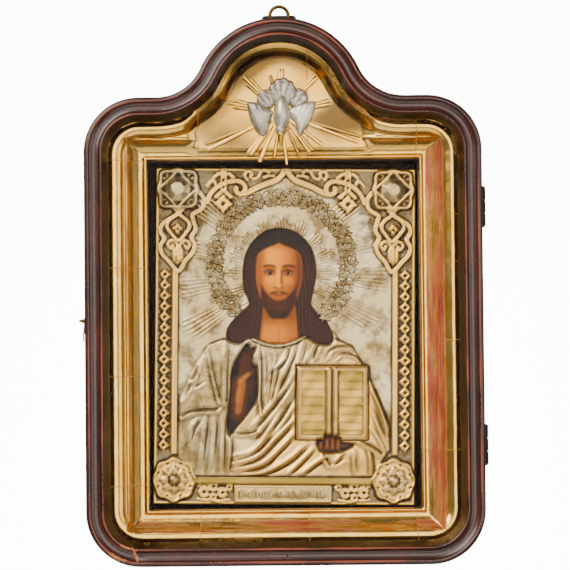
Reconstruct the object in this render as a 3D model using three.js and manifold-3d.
// A glazed icon case: a wooden wall case with an arched crown and a hinged glass door. A gilt carved
// liner inside frames a deep well, where a painted panel stands under an embossed metal cover.
// Millimetres. X runs to the right and Z up. The wall is the plane Y = 0, and "out" below is the
// distance in front of the wall, which is minus Y.

import * as THREE from "three";
import { mergeVertices } from "three/addons/utils/BufferGeometryUtils.js";
import Module from "manifold-3d";

const wasm = await Module();
wasm.setup();

// Outline of the case, seen from the front
const CASE_WIDTH = 258;
const CASE_HEIGHT = 355;
const SHOULDER_HEIGHT = 303.7;
const CROWN_RADIUS = 56.7;
const CROWN_SHIFT = -1.6;
const NECK_RADIUS = 31.6;
const CORNER_RADIUS = 35.4;

// Wood thicknesses, and the gap left between two pieces that touch
const SEAM = 0.3;
const BACK_THICKNESS = 5;
const SIDE_THICKNESS = 10;
const DOOR_THICKNESS = 16;
const DOOR_RAIL = 15.7;
const LIP_THICKNESS = 8.5;
const GLASS_THICKNESS = 2;
const GLASS_HOLD = 3.4;

// Painted panel, its metal cover and how it stands in the well
const ICON_WIDTH = 173;
const ICON_HEIGHT = 223.5;
const ICON_X = 0.3;
const ICON_Z = -28.4;
const ICON_LEAN = THREE.MathUtils.degToRad(1.6);
const ICON_TURN = THREE.MathUtils.degToRad(0.9);
const ICON_STANDOFF = 3;
const BOARD_THICKNESS = 18;
const SHEET = 1.2;
const RELIEF = 4.8;
const COVER_EDGE = 0.8;
const COVER_TURNDOWN = 8;

// Panel that the cover's ornament and halo are drawn for: they stretch with the real panel
const DRAWN_WIDTH = 173;
const DRAWN_HEIGHT = 223.5;

// Gilt liner
const WELL_PLAY_SIDE = 2.7;
const WELL_PLAY_TOP = 4.05;
const WELL_PLAY_FOOT = 1.75;
const WELL_WALL = 4;
const SIGHT_EDGE = 4;
const LINER_RISE = 14;
const LINER_CLEARANCE = 1.5;
const DISH_FLOOR = 2.2;
const DISH_HALF_WIDTH = 58;
const DISH_BLEND = 9;
const RIM_WIDTH = 5.6;
const COVE_WIDTH = 8;

// Carved dove and gilt rays
const DOVE_X = -1;
const DOVE_BELOW_CROWN = 3.3;
const DOVE_SPAN = 45;
const HUB_RADIUS = 12;
const HUB_HEIGHT = 2.2;
const RAY_START = 9;
const RAY_WIDTH = 2.5;
const RAY_HEIGHT = 2.6;
const RAY_FAN = THREE.MathUtils.degToRad(4.2);

// Pierced halo
const HALO_X = -2.6;
const HALO_Z = 48;
const HALO_OUTER = 50;
const HALO_INNER = 38;
const HALO_THICKNESS = 1.3;
const HALO_FLOWERS = 24;
const HALO_START = THREE.MathUtils.degToRad(-52);
const HALO_SWEEP = THREE.MathUtils.degToRad(283);

// Hinges, catch and hanger
const HINGE_LENGTH = 26;
const HINGE_PIN = 0.75;
const HINGE_BORE = 1;
const HINGE_KNUCKLE = 1.4;
const HINGE_LEAF = 7.5;
const HINGE_SHEET = 0.9;
const HINGE_UPPER_Z = 54;
const HINGE_LOWER_Z = -101;
const CATCH_Z = -18.2;
const CATCH_REACH = 10.3;
const WIRE_RADIUS = 0.55;
const STUD_RADIUS = 0.9;
const JAW_RADIUS = 2;
const PLATE_WIDTH = 23.6;
const PLATE_THICKNESS = 1.5;
const PLATE_DROP = 22;
const PLATE_RISE = 11.5;
const RING_OUTER = 15;
const RING_WIRE = 2.7;
const EYE_BORE = 2.15;
const EYE_RADIUS = 3.05;
const EYE_LENGTH = 4.4;

// Places that follow from the sizes
const foot = -CASE_HEIGHT / 2;
const crownTop = CASE_HEIGHT / 2;
const shoulder = foot + SHOULDER_HEIGHT;
const crownZ = crownTop - CROWN_RADIUS;
const neckZ = shoulder + NECK_RADIUS;
const neckX = Math.sqrt((CROWN_RADIUS + NECK_RADIUS) ** 2 - (neckZ - crownZ) ** 2);
const neckAngle = Math.atan2(neckZ - crownZ, neckX);
const leanDrop = (ICON_HEIGHT / 2) * Math.sin(ICON_LEAN);
const iconOut = BACK_THICKNESS + ICON_STANDOFF + leanDrop + BOARD_THICKNESS;
const linerBack = iconOut + leanDrop + SHEET + RELIEF + 2 * SEAM;
const sightOut = linerBack + SIGHT_EDGE;
const sideFront = linerBack + LINER_RISE + LINER_CLEARANCE;
const doorBack = sideFront + SEAM;
const doorFront = doorBack + DOOR_THICKNESS;
const lipBack = doorFront - LIP_THICKNESS;
const glassBack = lipBack - SEAM - GLASS_THICKNESS;
const linerInset = SIDE_THICKNESS + SEAM;
const wellHalf = ICON_WIDTH / 2 + WELL_PLAY_SIDE;
const wellTop = ICON_Z + ICON_HEIGHT / 2 + WELL_PLAY_TOP;
const wellBottom = ICON_Z - ICON_HEIGHT / 2 - WELL_PLAY_FOOT;
const doveZ = crownZ - DOVE_BELOW_CROWN;
const dishOut = sightOut + DISH_FLOOR;

// One material for each finish
function finish(color, roughness, metalness) {
  return new THREE.MeshStandardMaterial({ color, roughness, metalness });
}

const darkWood = finish(0x4a2a22, 0.45, 0);
const plainWood = finish(0x8a6a48, 0.8, 0);
const gilding = finish(0xd8b46a, 0.3, 0.9);
const silvering = finish(0xd0ccc2, 0.35, 0.9);
const embossedSilver = finish(0xb9ad95, 0.35, 0.95);
const giltMetal = finish(0xc0a878, 0.4, 0.9);
const blackenedIron = finish(0x3a3632, 0.6, 0.8);
const brass = finish(0xa8874a, 0.4, 0.9);
const windowGlass = finish(0xf2f5f4, 0.05, 0);
windowGlass.transparent = true;
windowGlass.opacity = 0.2;

const part = new THREE.Group();
part.name = "icon_case";

// Adds a geometry or a solid to a group as a named mesh.
function add(group, name, shape, material) {
  const geometry = shape.isBufferGeometry ? shape : geometryOf(shape);
  const mesh = new THREE.Mesh(geometry, material);
  mesh.name = name;
  group.add(mesh);
  return mesh;
}

// A geometry as a solid that can be joined and cut.
function solidOf(geometry) {
  const bare = geometry.index ? geometry.toNonIndexed() : geometry.clone();
  bare.deleteAttribute("normal");
  bare.deleteAttribute("uv");
  const merged = mergeVertices(bare, 1e-4);
  return new wasm.Manifold(
    new wasm.Mesh({
      numProp: 3,
      vertProperties: merged.attributes.position.array,
      triVerts: new Uint32Array(merged.index.array),
    }),
  );
}

function geometryOf(solid) {
  const mesh = solid.getMesh();
  const geometry = new THREE.BufferGeometry();
  geometry.setAttribute("position", new THREE.BufferAttribute(mesh.vertProperties, 3));
  geometry.setIndex(new THREE.BufferAttribute(mesh.triVerts, 1));
  geometry.computeVertexNormals();
  return geometry;
}

// Joins a list of geometries or solids into one solid.
function join(shapes) {
  return wasm.Manifold.union(shapes.map((shape) => (shape.isBufferGeometry ? solidOf(shape) : shape)));
}

// A closed geometry from points given as [x, out, z], its faces turned outwards.
function closed(points, faces) {
  let volume = 0;
  for (const [a, b, c] of faces) {
    const [p, q, r] = [points[a], points[b], points[c]];
    volume -= p[0] * (q[1] * r[2] - q[2] * r[1]);
    volume -= p[1] * (q[2] * r[0] - q[0] * r[2]);
    volume -= p[2] * (q[0] * r[1] - q[1] * r[0]);
  }
  const geometry = new THREE.BufferGeometry();
  const positions = points.flatMap(([x, out, z]) => [x, -out, z]);
  geometry.setAttribute("position", new THREE.Float32BufferAttribute(positions, 3));
  geometry.setIndex(faces.flatMap(([a, b, c]) => (volume > 0 ? [a, b, c] : [a, c, b])));
  geometry.computeVertexNormals();
  return geometry;
}

// Joins each section's points to the next section's. Every section is a loop of as many points.
// The sections close on themselves as a ring, or else both ends are closed by a fan.
function loft(sections, isRing) {
  const columns = sections[0].length;
  const last = isRing ? sections.length : sections.length - 1;
  const faces = [];
  for (let i = 0; i < last; i++) {
    const next = (i + 1) % sections.length;
    for (let j = 0; j < columns; j++) {
      const k = (j + 1) % columns;
      faces.push([i * columns + j, next * columns + j, i * columns + k]);
      faces.push([next * columns + j, next * columns + k, i * columns + k]);
    }
  }
  if (!isRing) {
    const end = (sections.length - 1) * columns;
    for (let j = 1; j < columns - 1; j++) {
      faces.push([0, j, j + 1]);
      faces.push([end, end + j + 1, end + j]);
    }
  }
  return closed(sections.flat(), faces);
}

// A flat plate of a shape drawn in X and Z, between two distances from the wall.
function plate(shape, near, far) {
  const settings = { depth: far - near, bevelEnabled: false, curveSegments: 5 };
  const geometry = new THREE.ExtrudeGeometry(shape, settings);
  geometry.rotateX(Math.PI / 2);
  geometry.translate(0, -near, 0);
  return geometry;
}

function rectangle(x0, z0, x1, z1) {
  return new THREE.Shape([
    new THREE.Vector2(x0, z0),
    new THREE.Vector2(x1, z0),
    new THREE.Vector2(x1, z1),
    new THREE.Vector2(x0, z1),
  ]);
}

// A shape whose radius is a function of the angle round a centre.
function polar(x, z, radiusAt, steps) {
  const points = [];
  for (let i = 0; i < steps; i++) {
    const angle = (i / steps) * 2 * Math.PI;
    const radius = radiusAt(angle);
    points.push(new THREE.Vector2(x + radius * Math.cos(angle), z + radius * Math.sin(angle)));
  }
  return new THREE.Shape(points);
}

function smooth(t) {
  const s = THREE.MathUtils.clamp(t, 0, 1);
  return s * s * (3 - 2 * s);
}

// The value at u of a line drawn through [u, value] pairs.
function along(pairs, u) {
  let i = 1;
  while (i < pairs.length - 1 && u > pairs[i][0]) {
    i++;
  }
  const [[u0, v0], [u1, v1]] = [pairs[i - 1], pairs[i]];
  return v0 + (v1 - v0) * THREE.MathUtils.clamp((u - u0) / (u1 - u0), 0, 1);
}

// Case outline

function arc(x, z, radius, from, to, steps) {
  const points = [];
  for (let i = 0; i <= steps; i++) {
    const angle = from + ((to - from) * i) / steps;
    points.push([x + radius * Math.cos(angle), z + radius * Math.sin(angle)]);
  }
  return points;
}

// One half of the case's outline, moved inwards by inset, from the foot up to the crown. The crown's
// arc, the hollow neck's arc and the two corners' arcs keep their centres, so each half is a true
// parallel line.
function halfOutline(inset, side) {
  const quarter = Math.PI / 2;
  const cornerX = CASE_WIDTH / 2 - CORNER_RADIUS;
  const shift = side * CROWN_SHIFT;
  const corner = CORNER_RADIUS - inset;
  const points = [
    ...arc(cornerX, foot + CORNER_RADIUS, corner, -quarter, 0, 4),
    ...arc(cornerX, shoulder - CORNER_RADIUS, corner, 0, quarter, 4),
    ...arc(neckX + shift, neckZ, NECK_RADIUS + inset, 3 * quarter, Math.PI + neckAngle, 4),
    ...arc(shift, crownZ, CROWN_RADIUS - inset, neckAngle, quarter, 6).slice(1),
  ];
  return points.map(([x, z]) => [side * x, z]);
}

function outline(inset) {
  const left = halfOutline(inset, -1).slice(0, -1);
  return [...halfOutline(inset, 1), ...left.reverse()];
}

function outlineShape(inset) {
  return new THREE.Shape(outline(inset).map(([x, z]) => new THREE.Vector2(x, z)));
}

// A moulding carried round the case: profile is a loop of [inset, out] pairs.
function moulding(profile) {
  const paths = profile.map(([inset]) => outline(inset));
  const sections = paths[0].map((_, i) => profile.map(([, out], j) => [paths[j][i][0], out, paths[j][i][1]]));
  return loft(sections, true);
}

// How far a point under the crown is inside the case's outline
function insetAt(x, z) {
  const across = Math.abs(x - CROWN_SHIFT);
  const up = z - crownZ;
  if (Math.atan2(up, across) > neckAngle) {
    return CROWN_RADIUS - Math.hypot(across, up);
  }
  if (across < neckX) {
    return Math.hypot(across - neckX, z - neckZ) - NECK_RADIUS;
  }
  return shoulder - z;
}

// Case and back board

const backShape = solidOf(plate(outlineShape(0), 0, BACK_THICKNESS));
const pocketHalf = PLATE_WIDTH / 2 + SEAM;
const pocket = plate(
  rectangle(CROWN_SHIFT - pocketHalf, crownTop - PLATE_DROP - SEAM, CROWN_SHIFT + pocketHalf, crownTop + 1),
  -1,
  PLATE_THICKNESS + 2 * SEAM,
);
add(part, "back_board", backShape.subtract(solidOf(pocket)), plainWood);

const sideBack = BACK_THICKNESS + SEAM;
const sideProfile = [
  [0, sideBack],
  [0, sideFront],
  [SIDE_THICKNESS, sideFront],
  [SIDE_THICKNESS, sideBack],
];
add(part, "case_sides", moulding(sideProfile), darkWood);

// Gilt liner

// Height of the liner's moulding over its sight edge, by distance from the well: a bead, a cove, a
// sharp arris and a wide round that falls back to a thin outer fillet.
const linerProfile = [
  [0, -0.6],
  [1.3, 0.9],
  [2.8, -0.2],
  [6.7, 0.5],
  [9.6, 2],
  [12.4, 5],
  [13.6, 6.2],
  [15.4, 5.9],
  [17.4, 8.2],
  [20.4, 9.8],
  [23.2, 9.8],
  [25.4, 8.8],
];

// Distance of the liner's face from the wall. At the sides, the foot and the shoulders it is the
// moulding, mitred at the well's corners. Under the crown it is a dish with a rim and a cove.
function linerFace(x, z) {
  const fromWell = Math.max(Math.abs(x) - wellHalf, wellBottom - z, z - wellTop);
  const frame = sightOut + along(linerProfile, fromWell);
  if (z < wellTop) {
    return frame;
  }
  const depth = insetAt(x, z) - linerInset - RIM_WIDTH;
  const rim = sightOut + 9.4;
  const bead = along(linerProfile.slice(0, 3), fromWell) + sightOut;
  const floor = fromWell < 2.8 ? bead : THREE.MathUtils.lerp(bead, dishOut, smooth((fromWell - 2.8) / 5));
  const dish = THREE.MathUtils.lerp(rim, floor, smooth(depth / COVE_WIDTH));
  const aside = Math.abs(x - CROWN_SHIFT) - DISH_HALF_WIDTH;
  return THREE.MathUtils.lerp(dish, frame, smooth(aside / DISH_BLEND + 0.5));
}

// Points round the well, one for each point of the case's outline
function wellEdge(grow) {
  const half = wellHalf + grow;
  const top = wellTop + grow;
  const bottom = wellBottom - grow;
  const step = 4;
  const points = [];
  for (let i = -2; i <= 2; i++) {
    points.push([half + Math.min(i, 0) * step, bottom + Math.max(i, 0) * step]);
  }
  for (let i = -2; i <= 2; i++) {
    points.push([half - Math.max(i, 0) * step, top + Math.min(i, 0) * step]);
  }
  const spread = half - 3 * step;
  const count = outline(0).length / 2 - points.length;
  for (let i = 0; i < count; i++) {
    points.push([spread * (1 - i / Math.floor(count)), top]);
  }
  const left = points.slice(0, -1).map(([x, z]) => [-x, z]);
  return [...points, ...left.reverse()];
}

function linerSections() {
  const outer = outline(linerInset);
  const inner = wellEdge(0);
  const wellBack = wellEdge(WELL_WALL);
  const nearWell = [0, 1.3, 3.2];
  const nearRim = [12, 8.5, RIM_WIDTH, 0];
  const between = [0.3, 0.55, 0.8];
  return outer.map(([xOuter, zOuter], i) => {
    const [xInner, zInner] = inner[i];
    const length = Math.hypot(xOuter - xInner, zOuter - zInner);
    const start = nearWell.at(-1);
    const squeeze = Math.min(1, (length - start) / (1.25 * nearRim[0]));
    const end = length - nearRim[0] * squeeze;
    const distances = [
      ...nearWell,
      ...between.map((share) => start + (end - start) * share),
      ...nearRim.map((d) => length - d * squeeze),
    ];
    const face = distances.map((distance) => {
      const x = THREE.MathUtils.lerp(xInner, xOuter, distance / length);
      const z = THREE.MathUtils.lerp(zInner, zOuter, distance / length);
      return [x, linerFace(x, z), z];
    });
    const [xWall, zWall] = wellBack[i];
    return [
      ...face,
      [xOuter, linerBack, zOuter],
      [xWall, linerBack, zWall],
      [xWall, sideBack, zWall],
      [xInner, sideBack, zInner],
    ];
  });
}

const liner = loft(linerSections(), true);
add(part, "gilt_liner", liner, gilding);

// Gilt rays: [direction in degrees, length as a share of the crown's radius, rods in the bundle]
const rayBundles = [
  [89, 0.547, 2],
  [105, 0.459, 1],
  [46, 0.635, 2],
  [135, 0.6, 3],
  [12, 0.617, 2],
  [168, 0.635, 3],
  [204, 1.005, 2],
  [-19, 1.023, 2],
  [232, 0.635, 2],
  [246, 0.617, 1],
  [-84, 0.6, 1],
  [-52, 0.6, 2],
  [-38, 0.617, 1],
  [-67, 0.547, 1],
  [261, 0.529, 1],
];

// A tapered rod of three-cornered section that lies on the dish, from near the middle to its tip
function ray(angle, length) {
  const [c, s] = [Math.cos(angle), Math.sin(angle)];
  const low = dishOut + 2 * SEAM;
  const section = (distance, half, height) => {
    const [x, z] = [DOVE_X + c * distance, doveZ + s * distance];
    return [
      [x + s * half, low, z - c * half],
      [x, low + height, z],
      [x - s * half, low, z + c * half],
    ];
  };
  const half = RAY_WIDTH / 2;
  return loft([section(RAY_START, half * 0.7, RAY_HEIGHT), section(length, half, RAY_HEIGHT * 0.8)], false);
}

const rods = rayBundles.flatMap(([direction, share, count]) =>
  Array.from({ length: count }, (_, i) => {
    const place = i - (count - 1) / 2;
    const length = share * CROWN_RADIUS * (1 - 0.12 * Math.abs(place));
    return ray(THREE.MathUtils.degToRad(direction) + place * RAY_FAN, length);
  }),
);
const hubShape = polar(DOVE_X, doveZ, () => HUB_RADIUS, 12);
rods.push(plate(hubShape, dishOut + SEAM, dishOut + SEAM + HUB_HEIGHT));
const linerCut = solidOf(liner.clone().translate(0, -SEAM, 0));
add(part, "glory_rays", join(rods).subtract(linerCut), gilding);

// Dove with spread wings, its tail up and its beak down. It is drawn on the wall 45 units from wing
// tip to wing tip round the middle of its breast, then brought to size and set on the rays.
const doveUnit = DOVE_SPAN / 45;
const doveOut = dishOut + RAY_HEIGHT + 4 * SEAM;

function egg(x, z, out, halfX, halfOut, halfZ) {
  const ball = new THREE.SphereGeometry(1, 10, 7);
  ball.scale(halfX, halfOut, halfZ);
  ball.translate(x, -out, z);
  return ball;
}

function wing(side) {
  const points = [
    [6.5, -1],
    [8, 2.5],
    [21.5, 6.5],
    [22.5, 2],
    [18, -8],
    [12.5, -15],
    [9.5, -8],
  ];
  const shape = new THREE.Shape(points.map(([x, z]) => new THREE.Vector2(side * x, z)));
  return plate(shape, 0, 2.4);
}

const tailLobes = [
  [-9.2, 9.2, 6.2],
  [1.2, 13.6, 9],
  [11.6, 9.4, 6.4],
].map(([x, z, radius]) => plate(polar(x, z, () => radius, 12), 0, 2 + radius * 0.2));
const beak = new THREE.ConeGeometry(2, 9, 8);
beak.rotateX(-Math.PI / 2);
beak.translate(-0.2, -3.2, -17.4);
const shoulders = plate(polar(0, 0, () => 8.2, 10), 0, 2.2);
const doveForms = join([
  egg(0.6, 0.4, 3.4, 5.2, 4.4, 11.5),
  egg(0, -11.4, 3.4, 3.5, 3.3, 3.9),
  beak,
  shoulders,
  wing(-1),
  wing(1),
  ...tailLobes,
]);
const behindDove = solidOf(plate(rectangle(-45, -45, 45, 45), -45, 0));
const dove = doveForms
  .subtract(behindDove)
  .scale([doveUnit, doveUnit, doveUnit])
  .translate([DOVE_X, -doveOut, doveZ]);
add(part, "dove", dove, silvering);

// Painted panel and its cover, in a group whose XZ plane is the panel's face

const icon = new THREE.Group();
icon.position.set(ICON_X, -iconOut, ICON_Z);
icon.rotation.set(-ICON_LEAN, ICON_TURN, 0);
part.add(icon);

const coverX = ICON_WIDTH / 2;
const coverZ = ICON_HEIGHT / 2;
const boardX = coverX - COVER_EDGE - SEAM;
const boardZ = coverZ - COVER_EDGE - SEAM;
const boardShape = rectangle(-boardX, -boardZ, boardX, boardZ);
add(icon, "icon_board", plate(boardShape, -BOARD_THICKNESS, 0), plainWood);

const relief = [];

// A raised flat piece of the cover
function raised(shape, height) {
  relief.push(plate(shape, SHEET / 2, SHEET + height));
}

// A strap of flat-topped section along points in X and Z
function strap(points, width, height, isLoop) {
  const count = points.length;
  const sections = points.map(([x, z], i) => {
    const before = points[isLoop ? (i + count - 1) % count : Math.max(i - 1, 0)];
    const after = points[isLoop ? (i + 1) % count : Math.min(i + 1, count - 1)];
    const length = Math.hypot(after[0] - before[0], after[1] - before[1]);
    const nx = (-(after[1] - before[1]) / length) * (width / 2);
    const nz = ((after[0] - before[0]) / length) * (width / 2);
    return [
      [x + nx, SHEET / 2, z + nz],
      [x + nx * 0.45, SHEET + height, z + nz * 0.45],
      [x - nx * 0.45, SHEET + height, z - nz * 0.45],
      [x - nx, SHEET / 2, z - nz],
    ];
  });
  relief.push(loft(sections, isLoop));
}

// A turned boss: sides is 4 for a lozenge with its corners up, down and aside
function boss(x, z, radius, height, sides, isRound) {
  const profile = [
    new THREE.Vector2(0, SHEET / 2),
    new THREE.Vector2(radius, SHEET / 2),
    new THREE.Vector2(radius * (isRound ? 0.85 : 0.5), SHEET + height * (isRound ? 0.55 : 1)),
    new THREE.Vector2(0, SHEET + height),
  ];
  const dome = new THREE.LatheGeometry(profile, sides);
  dome.rotateX(Math.PI);
  dome.translate(x, 0, z);
  relief.push(dome);
}

// Border of lozenge chains between the corner straps and the rosettes, with a plain gilt fillet inside
const BORDER_X = 80;
const FILLET_X = 73;
const CHAIN_TOP = 44;
const CHAIN_PITCH = 7.05;
const CHAIN_LINKS = 17;

for (const side of [-1, 1]) {
  for (let i = 0; i < CHAIN_LINKS; i++) {
    const isKnot = i === (CHAIN_LINKS - 1) / 2;
    boss(side * BORDER_X, CHAIN_TOP - (i + 0.5) * CHAIN_PITCH, isKnot ? 4.6 : 3.9, isKnot ? 1.9 : 1.3, 4);
  }
  const chainFoot = CHAIN_TOP - CHAIN_LINKS * CHAIN_PITCH;
  const fillet = rectangle(side * FILLET_X - 1.6, chainFoot, side * FILLET_X + 1.6, CHAIN_TOP - 2);
  raised(fillet, 0.8);
}

// Corner plates: a lobed square with a strap round it and a faceted gem, and two heart-shaped straps
// hanging below it that meet in a point
const CORNER_X = 71;
const CORNER_Z = 97;

for (const side of [-1, 1]) {
  const x = side * CORNER_X;
  const lobed = (angle) => 13.6 - 1.2 * Math.cos(4 * angle);
  raised(polar(x, CORNER_Z, lobed, 12), 0.9);
  const round = Array.from({ length: 12 }, (_, i) => {
    const angle = (i / 12) * 2 * Math.PI;
    const radius = lobed(angle) - 1.5;
    return [x + radius * Math.cos(angle), CORNER_Z + radius * Math.sin(angle)];
  });
  strap(round, 2.2, 1.8, true);
  boss(x, CORNER_Z, 9.2, 3.8, 4, true);
  const hearts = [
    [82, 62.5, 11.6],
    [67, 41.5, 12],
  ];
  for (const [top, bottom, half] of hearts) {
    const loop = Array.from({ length: 12 }, (_, i) => {
      const t = (i / 12) * 2 * Math.PI;
      const z = (top + bottom) / 2 + ((top - bottom) / 2) * Math.cos(t);
      return [x + half * Math.sin(t) * (1 + 0.35 * Math.cos(t)), z];
    });
    strap(loop, 2.6, 1.5, true);
    boss(x, (top * 3 + bottom * 2) / 5, 3.2, 1.6, 4);
  }
}

// Strapwork across the top: an arched band over the halo that rises to a peak, with two pendants
const PENDANT_X = 42;
const PENDANT_Z = 88.6;
const PENDANT_RADIUS = 5;

for (const side of [-1, 1]) {
  strap(
    [
      [side * 57, 86],
      [side * 53, 93],
      [side * 47, 100],
      [side * 40, 102],
      [side * 33, 99],
      [side * 25, 98.5],
      [side * 14, 102],
      [side * 5, 106],
      [side * 0.6, 110],
    ],
    2.8,
    1.6,
    false,
  );
  for (const [x, z, radius] of [
    [21, 105.5, 2.8],
    [49, 107, 2.6],
  ]) {
    const volute = Array.from({ length: 6 }, (_, i) => {
      const angle = (i / 6) * 2 * Math.PI;
      return [side * x + radius * Math.cos(angle), z + radius * Math.sin(angle)];
    });
    strap(volute, 1.8, 1.1, true);
  }
  strap([[side * PENDANT_X, 108], [side * PENDANT_X, PENDANT_Z + 4]], 3.4, 1.5, false);
  boss(side * PENDANT_X, PENDANT_Z, PENDANT_RADIUS, 1.9, 6);
}

// Rosettes at the foot: a scalloped disc, eight petals and a round boss
const ROSETTE_X = 72;
const ROSETTE_Z = -95;
const ROSETTE_RADIUS = 15.4;
const PETALS = 8;

for (const side of [-1, 1]) {
  const x = side * ROSETTE_X;
  const scalloped = (angle) => ROSETTE_RADIUS - 1.6 * Math.abs(Math.sin((PETALS / 2) * angle)) ** 3;
  raised(polar(x, ROSETTE_Z, (angle) => scalloped(angle + Math.PI / PETALS), 24), 1.5);
  for (let i = 0; i < PETALS; i++) {
    const angle = (i / PETALS) * 2 * Math.PI;
    boss(x + 7.6 * Math.cos(angle), ROSETTE_Z + 7.6 * Math.sin(angle), 2.9, 2.9, 4);
  }
  boss(x, ROSETTE_Z, 4.6, 4.6, 8, true);
}

// Ledge under the figure, and a tablet with two rows of shallow strokes in place of an inscription
const LEDGE_Z = -95.8;
const TABLET_Z = -104.2;
raised(rectangle(-ROSETTE_X + 13, LEDGE_Z - 2.6, ROSETTE_X - 13, LEDGE_Z + 2.6), 1.2);
raised(rectangle(-32.5, TABLET_Z - 5.6, 32.5, TABLET_Z + 5.6), 0.7);
for (let i = 0; i < 12; i++) {
  const x = -27.5 + 5 * i;
  const tall = 2 + Math.abs(Math.sin(i * 2.4));
  raised(rectangle(x - 0.8, TABLET_Z - tall, x + 0.8, TABLET_Z + tall), 1.1);
}
for (const side of [-1, 1]) {
  raised(polar(side * 44, TABLET_Z, (angle) => 6 + 3.6 * Math.cos(2 * angle) + 0.8 * Math.cos(6 * angle), 20), 1);
  boss(side * 44, TABLET_Z, 3, 2, 6);
}

// Rays on the ground outside the halo, in bundles
for (let i = 0; i < 30; i++) {
  const angle = THREE.MathUtils.degToRad(-34 + i * 8.6);
  const [c, s] = [Math.cos(angle), Math.sin(angle)];
  const reach = 60 + 11 * (i % 3 === 1) + 4 * Math.sin(i * 1.7);
  const longest = Math.min((FILLET_X - 4) / Math.abs(c), s > 0 ? (94 - HALO_Z) / s : reach);
  const length = Math.min(reach, longest);
  if (length > HALO_OUTER + 3 && Math.abs(c * length) < 70) {
    const start = HALO_OUTER + 1.5;
    const points = [
      [HALO_X + c * start, HALO_Z + s * start],
      [HALO_X + c * length, HALO_Z + s * length],
    ];
    strap(points, 1.7, 0.6, false);
  }
}

// Robed half figure in low relief

const FIGURE_TOP = -1;
const FIGURE_FOOT = -93;
const FIGURE_SWELL = 2;
const FOLD_HEIGHT = 1.1;

// Left and right edges of the robe by height, as [z, x] pairs from the foot up
const robeLeft = [
  [-93, -60],
  [-80, -68],
  [-66, -70.5],
  [-47, -69.5],
  [-25, -61],
  [-6, -52],
  [-1, -39],
];
const robeRight = [
  [-93, 60],
  [-78, 69.5],
  [-60, 65],
  [-38, 60],
  [-21, 55],
  [-8, 45],
  [-1, 32],
];

// A fold is a soft ridge along a line through (x, z) at a slope, as wide as its pitch.
function folds(distance, pitch) {
  return (0.5 + 0.5 * Math.cos((2 * Math.PI * distance) / pitch)) ** 1.6;
}

// Height of the robe over the ground: a low swell with three families of folds. They are the upright
// pleats of the shirt on the breast, the mantle's long folds that sweep down from the right shoulder,
// and the folds that hang from the left arm.
function robe(x, z) {
  const left = along(robeLeft, z);
  const right = along(robeRight, z);
  const edge = Math.min(smooth((x - left) / 9), smooth((right - x) / 9));
  const rise = smooth((FIGURE_TOP - z) / 8);
  const swell = FIGURE_SWELL * edge * rise;
  const mantleLine = x + 18 + (z + 40) * -0.95;
  const onMantle = smooth((mantleLine - 4) / 8);
  const sweep = Math.hypot(x - 62, (z - 10) * 1.05);
  const mantle = onMantle * folds(sweep, 13);
  const sleeve = smooth((-22 - x) / 10) * (1 - onMantle) * folds(x + z * 0.35, 12.5);
  const pleats = (1 - onMantle) * (1 - smooth((-22 - x) / 10)) * folds(x + 0.14 * z, 8);
  return swell + FOLD_HEIGHT * edge * rise * Math.max(mantle, sleeve, pleats);
}

// The robe as a grid: each row runs from its left edge to its right edge.
function robeSolid(columns, rows) {
  const front = [];
  const back = [];
  for (let i = 0; i <= rows; i++) {
    const z = THREE.MathUtils.lerp(FIGURE_FOOT, FIGURE_TOP, i / rows);
    const left = along(robeLeft, z);
    const right = along(robeRight, z);
    for (let j = 0; j <= columns; j++) {
      const x = THREE.MathUtils.lerp(left, right, j / columns);
      front.push([x, SHEET + robe(x, z) + 0.05, z]);
      back.push([x, SHEET / 2, z]);
    }
  }
  const faces = [];
  const width = columns + 1;
  const offset = front.length;
  const quad = (a, b, c, d) => faces.push([a, b, c], [a, c, d]);
  for (let i = 0; i < rows; i++) {
    for (let j = 0; j < columns; j++) {
      const a = i * width + j;
      quad(a, a + 1, a + width + 1, a + width);
      quad(a + offset, a + offset + width, a + offset + width + 1, a + offset + 1);
    }
    const [start, end] = [i * width, i * width + columns];
    quad(start, start + width, start + width + offset, start + offset);
    quad(end, end + offset, end + width + offset, end + width);
  }
  for (let j = 0; j < columns; j++) {
    const top = rows * width + j;
    quad(j, j + offset, j + offset + 1, j + 1);
    quad(top, top + 1, top + offset + 1, top + offset);
  }
  return closed([...front, ...back], faces);
}

relief.push(robeSolid(27, 15));

// Open book: a block with two page panels, rows of shallow strokes and a double spine
const BOOK_X = 31.4;
const BOOK_Z = -44.2;
const BOOK_HALF_WIDTH = 24.2;
const BOOK_HALF_HEIGHT = 25.1;
const BOOK_HEIGHT = 3.1;
raised(
  rectangle(BOOK_X - BOOK_HALF_WIDTH, BOOK_Z - BOOK_HALF_HEIGHT, BOOK_X + BOOK_HALF_WIDTH, BOOK_Z + BOOK_HALF_HEIGHT),
  BOOK_HEIGHT,
);
for (const side of [-1, 1]) {
  const middle = BOOK_X + side * 12.3;
  for (let row = 0; row < 5; row++) {
    const z = BOOK_Z + 17 - row * 8.2;
    raised(rectangle(middle - 7.6, z - 1.7, middle + 7.6, z + 1.7), BOOK_HEIGHT + 0.5);
  }
  raised(
    rectangle(BOOK_X + side * 2 - 1.1, BOOK_Z - BOOK_HALF_HEIGHT + 2, BOOK_X + side * 2 + 1.1, BOOK_Z + BOOK_HALF_HEIGHT - 2),
    BOOK_HEIGHT + 0.9,
  );
}

// Openings in the cover, through which the painted head and hands show
function opening(points) {
  const curve = new THREE.SplineCurve(points.map(([x, z]) => new THREE.Vector2(x, z)));
  const shape = new THREE.Shape(curve.getPoints(points.length * 2).slice(0, -1));
  return solidOf(plate(shape, -COVER_TURNDOWN, SHEET + RELIEF));
}

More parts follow.
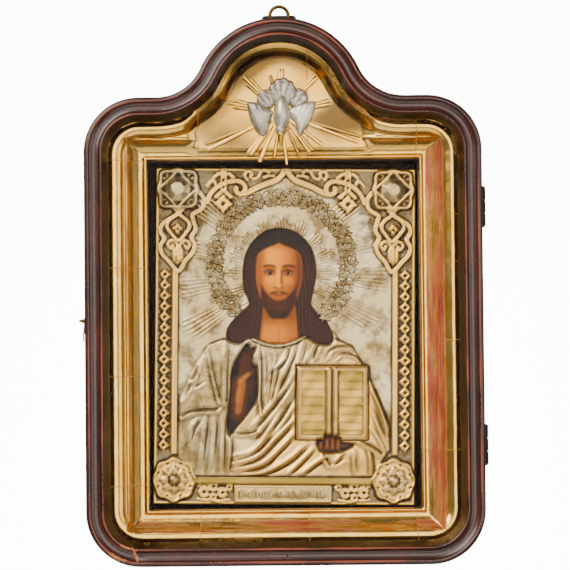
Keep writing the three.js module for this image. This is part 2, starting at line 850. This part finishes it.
const headOpening = opening([
  [-4, 71.2],
  [-18, 67],
  [-27, 54],
  [-28, 38],
  [-26, 22],
  [-36, 12],
  [-37, -1],
  [-19, -2],
  [-4, -1],
  [13, -2],
  [30, -2],
  [30, 12],
  [19, 22],
  [20.5, 38],
  [19.5, 54],
  [10, 67],
  [-4, 71.2],
]);
const rightHandOpening = opening([
  [-24.6, -5.6],
  [-20.6, -10],
  [-19, -21.4],
  [-18.2, -35.9],
  [-24, -50],
  [-35.7, -65.1],
  [-37, -50.6],
  [-35.3, -32.8],
  [-34, -18.9],
  [-28.1, -9.6],
  [-24.6, -5.6],
]);
const leftHandOpening = opening([
  [22, -69.8],
  [34, -70],
  [46, -69.6],
  [46.6, -73],
  [34, -75.6],
  [22.6, -74.4],
  [22, -69.8],
]);

const sheet = solidOf(plate(rectangle(-coverX, -coverZ, coverX, coverZ), SEAM, SHEET));
const turndownShape = rectangle(-coverX, -coverZ, coverX, coverZ);
turndownShape.holes.push(
  rectangle(-coverX + COVER_EDGE, -coverZ + COVER_EDGE, coverX - COVER_EDGE, coverZ - COVER_EDGE),
);
const turndown = plate(turndownShape, -COVER_TURNDOWN, SHEET / 2);
const ornamentStretch = [ICON_WIDTH / DRAWN_WIDTH, 1, ICON_HEIGHT / DRAWN_HEIGHT];
const openings = headOpening.add(rightHandOpening).add(leftHandOpening).scale(ornamentStretch);
const cover = join([sheet, turndown])
  .add(join(relief).scale(ornamentStretch))
  .subtract(openings);
add(icon, "silver_cover", cover, embossedSilver);

// Pierced halo: a curved band with a flower at every step, scalloped at both edges, and a hole
// between each two flowers
function haloShape() {
  const points = [];
  const steps = HALO_FLOWERS * 3;
  const edge = (radius, depth, i) => {
    const angle = HALO_START + (HALO_SWEEP * i) / steps;
    const wave = radius + depth * Math.cos((2 * Math.PI * i) / 3);
    return new THREE.Vector2(HALO_X + wave * Math.cos(angle), HALO_Z + wave * Math.sin(angle));
  };
  for (let i = 0; i <= steps; i++) {
    points.push(edge(HALO_OUTER, 1.2, i));
  }
  for (let i = steps; i >= 0; i--) {
    points.push(edge(HALO_INNER, -1, i));
  }
  const shape = new THREE.Shape(points);
  const middle = (HALO_OUTER + HALO_INNER) / 2;
  for (let i = 0; i < HALO_FLOWERS; i++) {
    const angle = HALO_START + (HALO_SWEEP * (i + 0.5)) / HALO_FLOWERS;
    shape.holes.push(polar(HALO_X + middle * Math.cos(angle), HALO_Z + middle * Math.sin(angle), () => 2, 4));
  }
  return shape;
}

const haloBack = SHEET + 0.6 + SEAM;
const haloPieces = [plate(haloShape(), haloBack, haloBack + HALO_THICKNESS)];
for (let i = 0; i < HALO_FLOWERS; i++) {
  const angle = HALO_START + (HALO_SWEEP * i) / HALO_FLOWERS;
  const middle = (HALO_OUTER + HALO_INNER) / 2;
  const flower = new THREE.ConeGeometry(2.6, 1.6, 5);
  flower.rotateX(Math.PI);
  flower.translate(
    HALO_X + middle * Math.cos(angle),
    -(haloBack + HALO_THICKNESS + 0.6),
    HALO_Z + middle * Math.sin(angle),
  );
  haloPieces.push(flower);
}
add(icon, "halo", join(haloPieces).scale(ornamentStretch), giltMetal);

// Door: a moulded frame with a rabbet, a glass pane in it and a bead that holds the pane

const rabbet = DOOR_RAIL - GLASS_HOLD;
const doorProfile = [
  [0, doorBack],
  [0, doorFront - 2.4],
  [0.8, doorFront - 0.6],
  [2.2, doorFront],
  [3.6, doorFront - 1],
  [6.6, doorFront - 2.4],
  [9.6, doorFront - 1.8],
  [11.4, doorFront - 0.4],
  [DOOR_RAIL, doorFront - 7.4],
  [DOOR_RAIL, lipBack],
  [rabbet, lipBack],
  [rabbet, doorBack],
];
const door = new THREE.Group();
part.add(door);
add(door, "door_frame", moulding(doorProfile), darkWood);

const pane = plate(outlineShape(rabbet + SEAM), glassBack, glassBack + GLASS_THICKNESS);
add(door, "door_glass", pane, windowGlass);

const beadProfile = [
  [rabbet + SEAM, glassBack - SEAM],
  [rabbet + SEAM, doorBack + 0.4],
  [DOOR_RAIL - 0.4, glassBack - SEAM],
];
add(door, "glazing_bead", moulding(beadProfile), darkWood);

// Hinges on the right side. The axis stands just outside the side, at the joint of door and case.
const axisX = CASE_WIDTH / 2 + SEAM + HINGE_KNUCKLE;
const axisOut = (sideFront + doorBack) / 2;

function upright(radius, length, sides) {
  const cylinder = new THREE.CylinderGeometry(radius, radius, length, sides);
  cylinder.rotateX(Math.PI / 2);
  return cylinder;
}

function block(x0, x1, near, far, z0, z1) {
  const box = new THREE.BoxGeometry(x1 - x0, far - near, z1 - z0);
  box.translate((x0 + x1) / 2, -(near + far) / 2, (z0 + z1) / 2);
  return box;
}

// A leaf with its knuckles: direction is 1 for the door's leaf and -1 for the case's
function hingeLeaf(z, direction, knuckles) {
  const inner = CASE_WIDTH / 2 + SEAM;
  const outer = inner + HINGE_SHEET;
  const near = axisOut + direction * (HINGE_KNUCKLE + SEAM);
  const far = near + direction * HINGE_LEAF;
  const half = HINGE_LENGTH / 2;
  const third = HINGE_LENGTH / 3;
  const pieces = [block(inner, outer, Math.min(near, far), Math.max(near, far), z - half, z + half)];
  for (const place of knuckles) {
    const middle = z + place * third;
    const length = third - SEAM;
    const knuckle = upright(HINGE_KNUCKLE, length, 8);
    knuckle.translate(axisX, -axisOut, middle);
    pieces.push(knuckle);
    const [low, high] = [Math.min(axisOut, near), Math.max(axisOut, near)];
    pieces.push(block(inner, outer, low, high, middle - length / 2, middle + length / 2));
  }
  for (const share of [-0.3, 0.3]) {
    const head = new THREE.CylinderGeometry(1.3, 1.5, 0.6, 6);
    head.rotateZ(-Math.PI / 2);
    head.translate(outer + 0.25, -(near + far) / 2, z + share * HINGE_LENGTH);
    pieces.push(head);
  }
  const bore = upright(HINGE_BORE, HINGE_LENGTH + 2, 8);
  bore.translate(axisX, -axisOut, z);
  return join(pieces).subtract(solidOf(bore));
}

for (const [place, z] of [
  ["upper", HINGE_UPPER_Z],
  ["lower", HINGE_LOWER_Z],
]) {
  add(part, `hinge_${place}_case_leaf`, hingeLeaf(z, -1, [-1, 1]), blackenedIron);
  add(door, `hinge_${place}_door_leaf`, hingeLeaf(z, 1, [0]), blackenedIron);
  const pin = upright(HINGE_PIN, HINGE_LENGTH + 1, 8);
  pin.translate(axisX, -axisOut, z);
  add(part, `hinge_${place}_pin`, pin, blackenedIron);
}

// Hook catch on the left side: a screw in the case, a loose wire hook on it and a stud in the door

const catchX = -CASE_WIDTH / 2;
const pivotOut = axisOut - CATCH_REACH * 0.45;
const studOut = pivotOut + CATCH_REACH;

// A headed pin that stands out of the left side
function headedPin(out, neck, neckLength, head) {
  const profile = [
    [0, SEAM],
    [neck, SEAM],
    [neck, neckLength],
    [head, neckLength],
    [head * 0.8, neckLength + 0.7],
    [0, neckLength + 0.8],
  ].map(([radius, length]) => new THREE.Vector2(radius, length));
  const pin = new THREE.LatheGeometry(profile, 10);
  pin.rotateZ(Math.PI / 2);
  pin.translate(catchX, -out, CATCH_Z);
  return pin;
}

const hookLift = SEAM + 0.5 + WIRE_RADIUS;
const ringRadius = STUD_RADIUS + WIRE_RADIUS + SEAM;
const headReach = hookLift + WIRE_RADIUS + 0.5;
add(part, "catch_screw", headedPin(pivotOut, STUD_RADIUS, headReach, ringRadius + WIRE_RADIUS), brass);
add(door, "catch_stud", headedPin(studOut, STUD_RADIUS, headReach + 1, STUD_RADIUS * 1.7), brass);

// The hook hangs straight down from its screw: a ring, a shank and a jaw that opens to the rear.
function hook() {
  const ring = new THREE.TorusGeometry(ringRadius, WIRE_RADIUS, 5, 10);
  ring.rotateY(Math.PI / 2);
  const path = [new THREE.Vector3(0, 0, -ringRadius), new THREE.Vector3(-0.3, 0, -CATCH_REACH * 0.5)];
  for (let i = 0; i <= 6; i++) {
    const angle = Math.PI / 2 + (i / 6) * Math.PI * 1.15;
    const [y, z] = [JAW_RADIUS * Math.cos(angle), JAW_RADIUS * Math.sin(angle) - CATCH_REACH];
    path.push(new THREE.Vector3(-0.7, y, z));
  }
  const circle = new THREE.Shape();
  circle.absarc(0, 0, WIRE_RADIUS, 0, 2 * Math.PI);
  const shank = new THREE.ExtrudeGeometry(circle, {
    steps: 14,
    curveSegments: 3,
    extrudePath: new THREE.CatmullRomCurve3(path),
  });
  const pieces = [ring, shank];
  for (const piece of pieces) {
    piece.translate(catchX - hookLift, -pivotOut, CATCH_Z);
  }
  return join(pieces);
}

add(part, "catch_hook", hook(), brass);

// Hanger: a plate let into the back board, with an eye on its face, and a ring through the eye

const plateBack = SEAM;
const plateFront = plateBack + PLATE_THICKNESS;
const eyeOut = plateFront + EYE_RADIUS - 0.4;
const ringMajor = (RING_OUTER - RING_WIRE) / 2;
const eyeZ = crownTop + EYE_RADIUS + 1.6;

function sideways(radius, length, sides) {
  const cylinder = new THREE.CylinderGeometry(radius, radius, length, sides);
  cylinder.rotateZ(Math.PI / 2);
  cylinder.translate(CROWN_SHIFT, -eyeOut, eyeZ);
  return cylinder;
}

const plateShape = rectangle(
  CROWN_SHIFT - PLATE_WIDTH / 2,
  crownTop - PLATE_DROP,
  CROWN_SHIFT + PLATE_WIDTH / 2,
  crownTop + PLATE_RISE,
);
const hangerPlate = join([plate(plateShape, plateBack, plateFront), sideways(EYE_RADIUS, EYE_LENGTH, 14)]);
const eyeBore = solidOf(sideways(EYE_BORE, EYE_LENGTH + 2, 14));
add(part, "hanger_plate", hangerPlate.subtract(eyeBore), blackenedIron);

const hangingRing = new THREE.TorusGeometry(ringMajor, RING_WIRE / 2, 7, 20);
hangingRing.rotateX(Math.PI / 2);
hangingRing.translate(CROWN_SHIFT, -eyeOut, eyeZ + ringMajor);
add(part, "hanging_ring", hangingRing, brass);

export default part;
